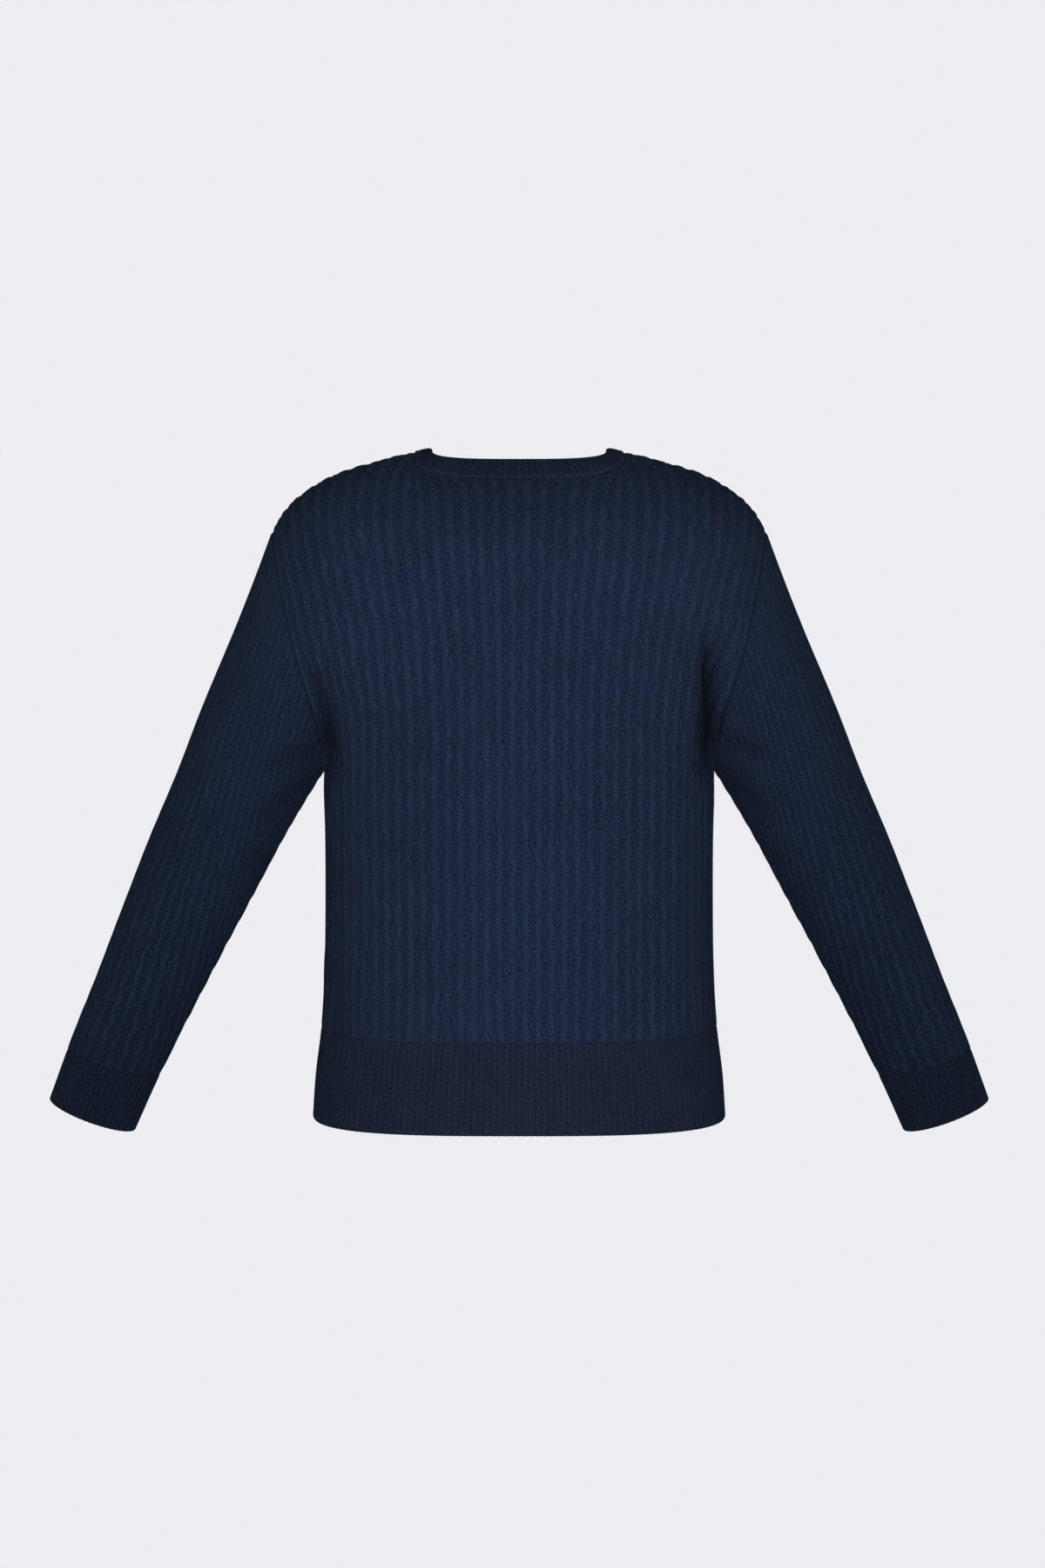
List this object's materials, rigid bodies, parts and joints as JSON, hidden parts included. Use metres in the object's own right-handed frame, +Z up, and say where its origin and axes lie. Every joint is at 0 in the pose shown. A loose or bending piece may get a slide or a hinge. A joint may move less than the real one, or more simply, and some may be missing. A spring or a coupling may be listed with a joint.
{
  "type": "cardigan",
  "caption": "Crew-neck knitted cardigan in a wavy rib, hollow as worn, with ribbed hem, cuffs and neckband, long sleeves and a closed button front.",
  "frame": {"origin": "on the line between the wearer's shoulders, midway, at the level of the neck points", "axes": "+X to the wearer's left, -Y out of the front, +Z up"},
  "size_m": [0.8534, 0.2467, 0.6168],
  "materials": {
    "knit": "soft wavy-rib knit, navy",
    "rib": "fine rib knit, navy",
    "button": "glossy dyed resin, navy"
  },
  "bodies": {
    "root": {"back": "knit", "front_left": "knit", "front_right": "knit", "sleeve_left": "knit", "sleeve_right": "knit", "hem_back": "rib", "hem_front_left": "rib", "hem_front_right": "rib", "cuff_left": "rib", "cuff_right": "rib", "neckband": "rib", "button_band": "rib", "buttonhole_band": "rib", "button_1": "button", "button_2": "button", "button_3": "button", "button_4": "button", "button_5": "button", "button_6": "button", "button_7": "button"}
  },
  "joints": []
}
